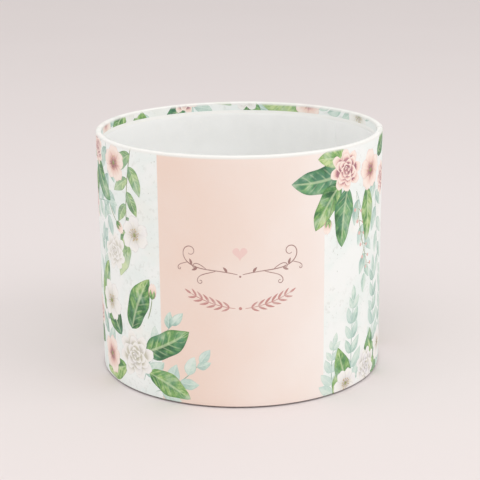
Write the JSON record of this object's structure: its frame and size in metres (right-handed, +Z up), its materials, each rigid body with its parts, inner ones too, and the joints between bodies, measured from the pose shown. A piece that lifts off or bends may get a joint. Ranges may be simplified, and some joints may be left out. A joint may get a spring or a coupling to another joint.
{
  "type": "hatbox",
  "caption": "Round hatbox, open at the top, of rigid board covered with printed paper outside and white paper inside, standing on a flat base.",
  "frame": {"origin": "middle of the underside, on the surface that the box stands on", "axes": "+Z up along the box's axis, -Y towards the front of the print, +X towards the wrap's lap seam"},
  "size_m": [0.1502, 0.15, 0.1283],
  "materials": {
    "printed_wrap_paper": "satin",
    "white_lining_paper": "matte",
    "white_floor_paper": "matte",
    "wall_greyboard": "matte",
    "kraft_tape": "matte",
    "base_greyboard": "matte",
    "white_cover_paper": "matte"
  },
  "bodies": {
    "root": {"outer_wrap": "printed_wrap_paper", "wall_lining": "white_lining_paper", "floor_lining": "white_floor_paper", "wall_board": "wall_greyboard", "wall_joint_tape": "kraft_tape", "base_board": "base_greyboard", "base_cover": "white_cover_paper"}
  },
  "joints": []
}
